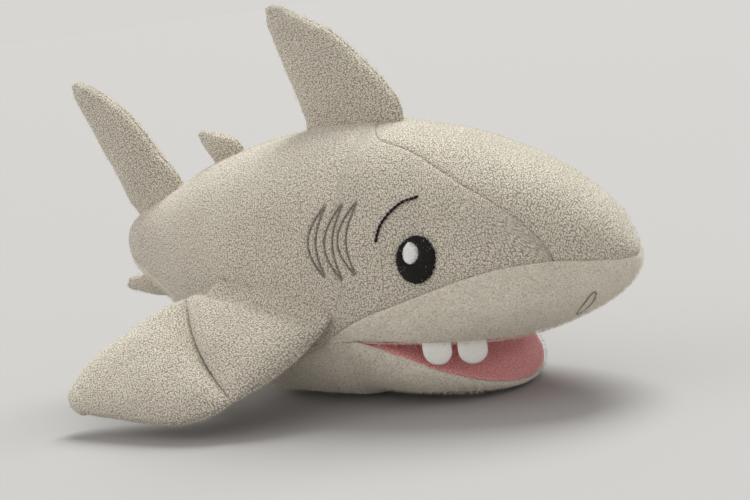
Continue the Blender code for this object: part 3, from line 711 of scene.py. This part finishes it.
def build_jaw():
    row = jaw_rows(VELOUR_STEP)
    x, rim, low, half = (row[:, k, None] for k in range(4))
    angle = np.linspace(0, np.pi, 240)[None]
    c, s = np.cos(angle), np.sin(angle)
    y = -half * np.sign(c) * np.abs(c) ** JAW_ROUND
    z = rim - (rim - low) * s ** JAW_ROUND
    grid = even(np.stack([np.repeat(x, 240, 1), y, z], -1), 150)
    t = np.full(len(row), float(t_at(CHEEK_X)))
    start = angle_at_height(t, row[:, 1])
    share = np.linspace(0, 1, 160)
    turn = start[:, None] + (2 * np.pi - 2 * start)[:, None] * share
    body = even(body_points(np.repeat(t[:, None], len(share), 1), turn), 150)
    body[..., 0] = x
    own = smoothstep(row[:, 0], CHEEK_X, CHEEK_X + 22)[:, None, None]
    grid = body * (1 - own) + grid * own
    n = facing_out(grid, JAW_MIDDLE)
    distance = edge_distances(grid)
    opened = smoothstep(grid[..., 0], 37, 42)
    out = LUMP_HEIGHT * noise(np.abs(grid), LUMP_SIZE, 7)
    for edge in ("start", "end"):
        out = out - valley(distance[edge], *JAW_EDGE) * opened
    out = out + LOOP_HEIGHT["white"] * (loops(grid) - 0.5)
    cover = build("jaw_underside", [settle(grid + n * out[..., None])], "white")
    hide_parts("jaw_cover", "jaw_filling")
    pieces = [cover, fibres("jaw_fibres", grid, "white", JAW_MIDDLE)]

    row = jaw_rows(TERRY_STEP * 0.95)
    x, rim, low, half = (row[:, k, None] for k in range(4))
    half = np.maximum(half - 1.2, 0.3)
    across = np.linspace(-1, 1, 150)[None]
    y = half * across
    inside = half * (1 - np.abs(across))
    crown = TONGUE_CROWN * smoothstep(x, CHEEK_X + 2, CHEEK_X + 26) * (1 - smoothstep(x, 82, 91))
    z = rim + crown * smoothstep(inside, 0, 16) - 0.5 + 0.9 * smoothstep(inside, 0, 1.6)
    z = z - 0.5 * (1 - smoothstep(x, CHEEK_X, 44))
    grid = np.stack([np.repeat(x, across.size, 1), y, z], -1)
    n = normals(grid)
    n *= np.where(n[..., 2:3] < 0, -1, 1)
    pile = LOOP_HEIGHT["pink"] * (loops(grid) - 0.5)
    lining = build("jaw_inside", [grid + n * pile[..., None]], "pink")
    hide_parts("jaw_lining")
    pieces.append(lining)
    for piece in pieces:
        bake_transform(piece)


# ---- teeth
TOOTH_WIDTH = 12.0
TOOTH_LENGTH = 8.8
TOOTH_THICK = 1.9
TEETH_X = {"rear": 73.0, "front": 85.8}


def build_teeth():
    half = TOOTH_WIDTH / 2
    straight = TOOTH_LENGTH - half
    arc = np.radians(np.linspace(180, 360, 33))
    edge = [(-half, 1.6)] + [(-half, -k) for k in np.linspace(0, straight, 5)[:-1]]
    edge += list(zip(half * np.cos(arc), -straight + half * np.sin(arc)))
    edge += [(half, -k) for k in np.linspace(straight, 0, 5)[1:]] + [(half, 1.6)]
    edge = np.array(edge)
    centre = np.array([0, -straight * 0.6])
    # share of the outline and share of the thickness, from the back's middle to the front's
    rings = [(0.02, -0.5), (0.5, -0.5), (0.85, -0.47), (0.95, -0.36), (1.0, -0.12), (1.0, 0.12),
             (0.95, 0.36), (0.85, 0.47), (0.5, 0.52), (0.02, 0.52)]
    for place, x in TEETH_X.items():
        near, far = lip_half_width(x - 4.0), lip_half_width(x + 4.0)
        turn = math.atan2(float(near - far), 8.0)
        along = np.array([math.cos(turn), math.sin(turn), 0])
        outward = np.array([math.sin(turn), -math.cos(turn), 0])
        root = np.array([x, -float(lip_half_width(np.array(x))) + 1.1, palate_height(x) - 0.2])
        grid = []
        for share, depth in rings:
            flat = centre + (edge - centre) * share
            bend = 0.02 * flat[:, 1] ** 2 * 0.6
            grid.append(root + flat[:, :1] * along + flat[:, 1:] * np.array([0, 0, 1.0])
                        + (depth * TOOTH_THICK - bend)[:, None] * outward)
        grid = np.array(grid)
        grid += 0.07 * noise(grid, 0.8, 11)[..., None]
        for side in ("right", "left"):
            tooth = build(f"felt_tooth_{side}_{place}", on_side([grid], side), "felt", around=True)
            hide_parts(f"tooth_{side}_{place}")
            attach(tooth, "body")


# ---- embroidery
EYE = (73.0, 63.5)
EYE_SIZE = (17.0, 18.8)
GLINT = (70.9, 66.2)
GLINT_SIZE = (6.8, 8.6)
BROW = [(56.0, 71.2), (57.3, 76.8), (61.5, 82.4), (66.6, 86.0), (72.8, 87.8)]
GILLS = [(30.6, 72.5, 14.0), (38.9, 72.0, 15.0), (45.4, 73.0, 14.2)]
GILL_BOW = 5.5
GILL_WIDTH = 4.0
THREAD = 0.46             # width of one satin stitch
NOSTRIL = (127.8, -13.6, 41.8)
NOSTRIL_SIZE = (4.4, 15.4)
# width, length and height of the stitches in each line
BROW_STITCH = (1.4, 1.9, 0.35)
GILL_STITCH = (0.8, 2.1, -0.25)
NOSTRIL_STITCH = (0.7, 1.9, 0.1)


def gill_lines():
    """The two arcs of each gill in side view, from its top to its bottom."""
    lines = []
    f = np.linspace(0, 1, 25)
    for x, z, half in GILLS:
        height = z + half * (1 - 2 * f)
        middle = x - GILL_BOW * np.sin(np.pi * f)
        spread = GILL_WIDTH / 2 * np.sin(np.pi * f) ** 0.7
        lines += [np.stack([middle + s * spread, height], -1) for s in (1, -1)]
    return lines


def satin(centre, size, lift, skin, name, hole=None):
    """A filled oval of parallel stitches, laid side by side, with slightly uneven ends."""
    rng = np.random.default_rng(5)
    grids = []
    rows = int(size[1] / THREAD)
    profile = np.linspace(0, math.pi, 6)
    for k in range(rows):
        z = centre[1] - size[1] / 2 + (k + 0.5) * size[1] / rows
        reach = size[0] / 2 * math.sqrt(max(0.0, 1 - ((z - centre[1]) / (size[1] / 2)) ** 2))
        ends = [centre[0] - reach + rng.uniform(-0.28, 0.28), centre[0] + reach + rng.uniform(-0.28, 0.28)]
        spans = [ends]
        if hole:
            inside = 1 - ((z - hole[0][1]) / (hole[1][1] / 2)) ** 2
            if inside > 0:
                cut = hole[1][0] / 2 * math.sqrt(inside)
                spans = [[ends[0], hole[0][0] - cut], [hole[0][0] + cut, ends[1]]]
        for low, high in spans:
            if high - low < 0.4:
                continue
            x = np.linspace(low, high, max(4, int((high - low) / 0.7)))
            inner = np.sin(np.linspace(0, np.pi, len(x))) ** 0.35
            strand = []
            for a in profile:
                p, n = surface_point(x, np.full_like(x, z + 0.56 * THREAD * math.cos(a)))
                dome = 1 - ((x - centre[0]) / size[0]) ** 2 - ((z - centre[1]) / size[1]) ** 2
                rise = lift * inner * (0.55 + 0.45 * dome) + 0.3 * THREAD * math.sin(a) - 0.25
                strand.append(p + n * rise[:, None])
            grids.append(np.array(strand))
    return [build(f"{name}_{side}", on_side(grids, side), skin) for side in ("right", "left")]


def stitches(points, outward, width, length, lift):
    """Grids of short raised stitches, end to end along a line of surface points."""
    along = length_along(points)
    count = max(2, round(along[-1] / length))
    grids = []
    ring = np.linspace(0, 2 * np.pi, 9)[:-1]
    for k in range(count):
        f = np.linspace(k - 0.10, k + 1.04, 7) / count * along[-1]
        centre = np.stack([np.interp(f, along, points[:, i]) for i in range(3)], -1)
        up = np.stack([np.interp(f, along, outward[:, i]) for i in range(3)], -1)
        ahead = np.gradient(centre, axis=0)
        side = np.cross(up, ahead)
        side /= np.linalg.norm(side, axis=1, keepdims=True)
        swell = np.sin(np.linspace(0.12, np.pi - 0.12, 7)) ** 0.5
        lengths = [centre + side * (width / 2 * swell * math.cos(a))[:, None]
                   + up * (lift * swell + width * 0.42 * swell * math.sin(a))[:, None] for a in ring]
        grids.append(np.stack(lengths, 1))
    return grids


def build_embroidery():
    hole = (GLINT, GLINT_SIZE)
    sets = [("eye", satin(EYE, EYE_SIZE, 1.15, "black", "eye_stitching", hole)),
            ("eye_glint", satin(GLINT, GLINT_SIZE, 1.25, "glint", "glint_stitching"))]
    for node, pair in sets:
        for side, piece in zip(("right", "left"), pair):
            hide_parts(f"{node}_{side}")
            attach(piece, "body")
    table = np.array(BROW)
    curve = smooth_rows(table, np.linspace(0, len(table) - 1, 60))
    lines = [("brow", [curve], BROW_STITCH, "black", "brow")]
    for number in range(3):
        arcs = gill_lines()[2 * number:2 * number + 2]
        lines.append((f"gill_stitching_{number + 1}", arcs, GILL_STITCH, "taupe",
                      f"gill_{{side}}_{number + 1}"))
    for name, paths, stitch, skin, node in lines:
        grids = []
        for path in paths:
            p, n = surface_point(path[:, 0], path[:, 1])
            grids += stitches(p, n, *stitch)
        for side in ("right", "left"):
            made = build(f"{name}_{side}", on_side(grids, side), skin, around=True)
            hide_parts(node.format(side=side) if "{" in node else f"{node}_{side}")
            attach(made, "body")


def build_nostrils():
    outward = unit([0.62, -0.42, -0.66])
    along = np.array([0.80, -0.30, 0.56])
    along = unit(along - outward * (along @ outward))
    across = np.cross(outward, along)
    t, a = np.meshgrid(np.linspace(0.2, 2.8, 260), np.linspace(1.2, 3.1, 260), indexing="ij")
    skin = body_points(t, a).reshape(-1, 3)
    skin_n = normals(body_points(t, a)).reshape(-1, 3)
    skin_n *= np.sign(((skin - AXIS) * skin_n).sum(-1))[:, None]
    turn = np.linspace(0, 2 * np.pi, 49)
    ring = (np.array(NOSTRIL) + across * (NOSTRIL_SIZE[0] / 2 * np.cos(turn))[:, None]
            + along * (NOSTRIL_SIZE[1] / 2 * np.sin(turn))[:, None])
    nearest = []
    for p in ring:
        offset = skin - p
        off = offset - (offset @ outward)[:, None] * outward
        nearest.append(np.argmin((off ** 2).sum(1)))
    grids = stitches(skin[nearest], skin_n[nearest], *NOSTRIL_STITCH)
    for side in ("right", "left"):
        made = build(f"nostril_stitching_{side}", on_side(grids, side), "taupe", around=True)
        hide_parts(f"nostril_{side}")
        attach(made, "body")


# ---- fins
# rows of each fin: distance from the hinge line, back end, front end, half thickness
FIN_ROOT_SINK = {"dorsal_fin": 6.0, "second_fin": 5.0, "upper_tail": 12.0, "lower_tail": 8.0}
FINS = {
    "dorsal_fin": ((18.0, 0.0, 118.9), (1, 0, 0), (0, 0, 1), [
        (0, -25, 26, 6.0), (4, -26.5, 24.8, 6.6), (10, -28.5, 21, 7.2), (19, -31.5, 14, 7.2),
        (29, -34.5, 4, 6.4), (38, -37, -7, 5.4), (44, -39, -18, 4.2), (48, -38.5, -27, 2.8)]),
    "second_fin": ((-56.5, 0.0, 105.6), (0.94, 0.0, 0.34), (0, 0, 1), [
        (0, -9, 9, 3.4), (3, -9.4, 8, 3.8), (7, -10.4, 4.5, 3.9), (11, -11.4, -1.2, 3.2),
        (14, -11.6, -6, 2.0)]),
    "upper_tail": ((-105.2, 0.0, 88.6), (0.876, 0.0, 0.481), (0, 0, 1), [
        (0, -16, 17, 5.6), (5, -16.5, 16, 6.2), (14, -15.5, 14.2, 6.8), (28, -14.8, 12.2, 6.6),
        (42, -14.8, 8.6, 5.8), (55, -14.6, 2.8, 4.8), (64, -14.2, -3.0, 3.8), (69, -12.5, -7.5, 2.4)]),
    "lower_tail": ((-109.2, 0.0, 46.7), (0.862, 0.0, -0.507), (0, 0, -1), [
        (0, -9, 8.5, 3.4), (4, -14, 6.5, 3.9), (8, -18.5, 1.0, 4.0), (11.5, -21.5, -7, 3.4),
        (14, -21, -13, 2.0)]),
}
SHOULDER_FRONT = np.array([31.0, -55.5, 38.0])
SHOULDER_BACK = np.array([-34.0, -53.5, 51.0])
FOLD_FRONT = np.array([3.6, -88.1, 14.8])
FOLD_BACK = np.array([-42.7, -56.4, 50.0])
PECTORAL_TIP = np.array([-85.0, -95.0, 12.0])
OUTER_ROWS = [(-1.0, -0.6, 66.0, 2.4), (5, -1.8, 65.6, 6.8), (13, -3.2, 63.4, 8.4), (23, -4.2, 58.4, 8.8),
              (33, -4.8, 50.4, 8.2), (42, -4.8, 41.2, 7.2), (50, -4.0, 32.0, 6.0), (57, -2.2, 24.4, 4.8),
              (62.5, 1.2, 18.2, 3.6)]
FIN_END = 0.92            # below 1 makes the ends of a fin's section blunter than an ellipse
FOLD_BULGE = 4.0          # how far the stitched fold bows towards the fin's tip
FIN_SEAM = (1.6, 0.7)     # width and depth of the groove where a fin's two faces meet
SHOULDER_SINK = 9.0       # how far the pectoral's root reaches into the body
EDGE_ROLL = (12.6, 1.3)   # distance and depth of the line stitched beside the shoulder seam


def fin_frame(origin, chord, span):
    chord = unit(chord)
    span = np.asarray(span, float)
    span = unit(span - chord * (span @ chord))
    return np.asarray(origin, float), chord, span, np.cross(chord, span)


def fin_grid(frame_, rows, upper, step, root_sink=0.0, bow=0.0):
    """One face of a fin, as rows from root to tip with a rounded end."""
    origin, chord, span, normal = frame_
    table = np.array(rows, float)
    t = np.linspace(0, len(table) - 1, 400)
    row = smooth_rows(table, t)
    row[:, 0] = np.interp(t, range(len(table)), table[:, 0])
    length = np.concatenate([[0], np.cumsum(np.hypot(np.diff(row[:, 0]), np.diff(row[:, 1:3].mean(1))))])
    wanted = np.linspace(0, length[-1], int(length[-1] / step) + 2)
    row = np.stack([np.interp(wanted, length, row[:, k]) for k in range(4)], -1)
    if root_sink:
        sunk = np.repeat(row[:1], int(root_sink / step) + 1, 0)
        sunk[:, 0] = row[0, 0] - np.linspace(root_sink, step, len(sunk))
        row = np.concatenate([sunk, row])
    last = row[-1]
    tip_half = (last[2] - last[1]) / 2
    turn = np.linspace(0, np.pi / 2, max(4, int(tip_half * 1.3 / step)))[1:]
    slope = (row[-1, 1:3].mean() - row[-6, 1:3].mean()) / max(1e-6, row[-1, 0] - row[-6, 0])
    cap = np.stack([last[0] + 0.55 * tip_half * np.sin(turn),
                    last[1] + tip_half * (1 - np.cos(turn)) + slope * 0.55 * tip_half * np.sin(turn),
                    last[2] - tip_half * (1 - np.cos(turn)) + slope * 0.55 * tip_half * np.sin(turn),
                    last[3] * np.maximum(np.cos(turn), 0.02)], -1)
    row = np.concatenate([row, cap])
    angle = np.linspace(0, np.pi, 200)[None]
    centre, half = row[:, 1:3].mean(1)[:, None], np.maximum((row[:, 2] - row[:, 1])[:, None] / 2, 0.02)
    c, s = np.cos(angle), np.sin(angle)
    along = centre + half * np.sign(c) * np.abs(c) ** FIN_END
    share = np.clip((along - row[0, 1]) / (row[0, 2] - row[0, 1]), 0, 1)
    out = row[:, :1] + bow * np.sin(np.pi * share) * (1 - smoothstep(row[:, :1], 2, 26))
    thick = row[:, 3:4] * s ** 0.8
    grid = (origin + along[..., None] * chord + out[..., None] * span
            + (thick if upper else -thick)[..., None] * normal)
    columns = int(np.linalg.norm(np.diff(grid, axis=1), axis=-1).sum(1).max() / step) + 2
    return even(grid, columns)


def inner_grid(normal, upper, step):
    """One face of the pectoral's inner part, from the shoulder to the stitched fold."""
    rows = int(50 / step)
    s = np.linspace(0, 1, rows)[:, None]
    angle = np.linspace(0, np.pi, 200)[None]
    c = (1 - np.sign(np.cos(angle)) * np.abs(np.cos(angle)) ** FIN_END) / 2
    root = SHOULDER_FRONT + (SHOULDER_BACK - SHOULDER_FRONT) * c[..., None]
    fold = FOLD_FRONT + (FOLD_BACK - FOLD_FRONT) * c[..., None]
    outward = unit(np.cross(normal, FOLD_BACK - FOLD_FRONT))
    outward *= np.sign((PECTORAL_TIP - FOLD_BACK) @ outward)
    fold = fold + outward * (FOLD_BULGE * np.sin(np.pi * c))[..., None]
    grid = root * (1 - s)[..., None] + fold * s[..., None]
    front = unit(np.cross(normal, FOLD_FRONT - SHOULDER_FRONT))
    front *= np.sign((SHOULDER_FRONT - SHOULDER_BACK) @ front)
    grid = grid + front * (2.6 * np.sin(np.pi * s) * (1 - c) ** 2)[..., None]
    pinch = 0.34 + 0.66 * np.clip(np.sin(np.pi * np.clip(s, 0, 1)), 0, 1) ** 0.55
    pinch = np.where(s > 0.5, 0.16 + 0.84 * np.clip(np.sin(np.pi * s), 0, 1) ** 0.5, pinch)
    thick = 10.0 * np.sin(angle) ** 0.75 * pinch * (1 - 0.25 * c)
    grid = grid + normal * (thick if upper else -0.8 * thick)[..., None]
    inward = unit(np.cross(normal, SHOULDER_BACK - SHOULDER_FRONT))
    inward *= np.sign((SHOULDER_FRONT - FOLD_FRONT) @ inward)
    sunk = np.arange(SHOULDER_SINK, 0, -step)[:, None, None]
    return even(np.concatenate([grid[:1] + inward * sunk, grid]), int(80 / step))


def fin_cover(name, grid, skin_seams, away, node, side_mirror=False, roll=False):
    n = facing_out(grid, away)
    distance = edge_distances(grid)
    out = 0.45 * noise(grid, 13.0, 12)
    broad = smoothstep(distance["start"] + distance["end"], 3, 14)
    for seam in skin_seams:
        out = out - valley(distance[seam], *FIN_SEAM) * broad + 0.6 * pucker(distance[seam], grid)
    if roll:
        inside = smoothstep(np.minimum(distance["start"], distance["end"]), 1, 8)
        out = out - EDGE_ROLL[1] * inside * np.exp(-((distance["first"] - EDGE_ROLL[0]) / 0.9) ** 2)
    out = out + LOOP_HEIGHT["grey"] * (loops(grid) - 0.5)
    made = grid + n * out[..., None]
    cover = build(name, [mirror(made) if side_mirror else made], "grey")
    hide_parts(*node)
    centre = away * np.array([1, -1, 1]) if side_mirror else away
    return cover, fibres(f"{name}_fibres", mirror(grid) if side_mirror else grid, "grey", centre)


def build_fins():
    faces = {"dorsal_fin": ("right", "left"), "second_fin": ("right", "left"),
             "upper_tail": ("right", "left"), "lower_tail": ("left", "right")}
    for name, (origin, chord, span, rows) in FINS.items():
        made = fin_frame(origin, chord, span)
        for face, upper in zip(faces[name], (True, False)):
            grid = fin_grid(made, rows, upper, TERRY_STEP, FIN_ROOT_SINK[name])
            away = made[0] + made[2] * 20
            nodes = [f"{name}_{face}"] + ([f"{name}_filling"] if upper else [])
            for piece in fin_cover(f"{name}_{face}_face", grid, ("start", "end"), away, nodes):
                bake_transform(piece)


def build_pectorals():
    inner = unit(np.cross(SHOULDER_BACK - SHOULDER_FRONT, FOLD_FRONT - SHOULDER_FRONT))
    inner *= np.sign(inner[2])
    made = fin_frame(FOLD_BACK, FOLD_FRONT - FOLD_BACK, PECTORAL_TIP - FOLD_BACK)
    flip = made[3][2] < 0
    spread = unit(np.cross(SHOULDER_BACK - SHOULDER_FRONT, inner))
    spread *= np.sign((FOLD_FRONT - SHOULDER_FRONT) @ spread)
    for side in ("right", "left"):
        for face, upper in (("top", True), ("bottom", False)):
            away = (SHOULDER_FRONT + SHOULDER_BACK + FOLD_FRONT + FOLD_BACK) / 4
            nodes = [f"{side}_fin_inner_{face}"] + ([f"{side}_fin_inner_filling"] if upper else [])
            pieces = fin_cover(f"{side}_inner_fin_{face}", inner_grid(inner, upper, TERRY_STEP),
                               ("start", "end", "last"), away, nodes, side == "left", upper)
            for piece in pieces:
                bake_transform(piece)
            grid = fin_grid(made, OUTER_ROWS, upper != flip, TERRY_STEP, 0.0, FOLD_BULGE)
            nodes = [f"{side}_fin_outer_{face}"] + ([f"{side}_fin_outer_filling"] if upper else [])
            away = FOLD_BACK + made[1] * 28 + made[2] * 24
            pieces = fin_cover(f"{side}_outer_fin_{face}", grid, ("start", "end", "first"), away, nodes,
                               side == "left")
            for piece in pieces:
                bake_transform(piece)


# ---- camera, stage and light
CAMERA_TURN = (36, 9, -8)                # azimuth, elevation and roll, in degrees
CAMERA_TARGET = (39, 0, 62)
CAMERA_DISTANCE = 0.7                    # in metres
CAMERA_HALF_VIEW = 13                    # half of the picture's width, in degrees
CAMERA_SHIFT = (-0.04667, -0.01067)      # share of the picture's width
# how wide each light is, in degrees, its power and its colour
WINDOW = (35, 3.3, (0.96, 1.0, 0.96))
FILL = (45, 0.72, (1.0, 0.98, 0.96))


def build_camera():
    azimuth, elevation, roll = (math.radians(d) for d in CAMERA_TURN)
    target = Vector(CAMERA_TARGET) * MM
    back = Vector((math.sin(azimuth) * math.cos(elevation), -math.cos(azimuth) * math.cos(elevation),
                   math.sin(elevation)))
    right = (-back).cross(Vector((0, 0, 1))).normalized()
    up = right.cross(-back)
    turned = right * math.cos(roll) + up * math.sin(roll)
    up = up * math.cos(roll) - right * math.sin(roll)
    data = bpy.data.cameras.new("camera")
    data.sensor_width = 36
    data.lens = 18 / math.tan(math.radians(CAMERA_HALF_VIEW))
    data.shift_x, data.shift_y = CAMERA_SHIFT
    data.clip_start, data.clip_end = 0.05, 50
    camera = bpy.data.objects.new("camera", data)
    camera.matrix_world = Matrix((turned, up, back)).transposed().to_4x4()
    camera.location = target + back * CAMERA_DISTANCE
    show(camera)
    bpy.context.scene.camera = camera
    return right, back


def light(name, place, aim, angle, power, colour):
    data = bpy.data.lights.new(name, "SUN")
    data.angle = math.radians(angle)
    data.energy = power
    data.color = colour
    lamp = bpy.data.objects.new(name, data)
    lamp.location = place
    lamp.rotation_euler = (Vector(aim) - Vector(place)).to_track_quat("-Z", "Y").to_euler()
    show(lamp)


FLOOR_COLOUR = (0.379, 0.367, 0.370)
SKY = (1.0, 0.985, 0.955)
SKY_STRENGTH = 0.68       # about as bright as the lit floor, so that no horizon shows


def build_stage():
    mesh = bpy.data.meshes.new("floor")
    size = 60.0
    mesh.from_pydata([(-size, -size, 0), (size, -size, 0), (size, size, 0), (-size, size, 0)], [],
                     [(0, 1, 2, 3)])
    floor = bpy.data.objects.new("floor", mesh)
    floor.location = (0, 0, -0.0004)
    r = Recipe("floor_paint")
    r.shader.inputs["Base Color"].default_value = (*FLOOR_COLOUR, 1)
    r.shader.inputs["Roughness"].default_value = 0.9
    mesh.materials.append(r.material)
    show(floor)
    world = bpy.data.worlds.new("studio")
    world.use_nodes = True
    background = world.node_tree.nodes["Background"]
    background.inputs["Color"].default_value = (*SKY, 1)
    background.inputs["Strength"].default_value = SKY_STRENGTH
    bpy.context.scene.world = world
    bpy.context.scene.view_settings.view_transform = "Standard"


def main():
    right, back = build_camera()
    build_stage()
    middle = Vector((20, 0, 60)) * MM
    light("window", middle + right * 0.2 - back * 0.45 + Vector((0, 0, 0.9)), middle, *WINDOW)
    light("fill", middle - right * 1.1 - back * 0.15 + Vector((0, 0, 0.45)), middle, *FILL)
    build_body()
    build_palate()
    build_jaw()
    build_teeth()
    build_embroidery()
    build_nostrils()
    build_fins()
    build_pectorals()


main()
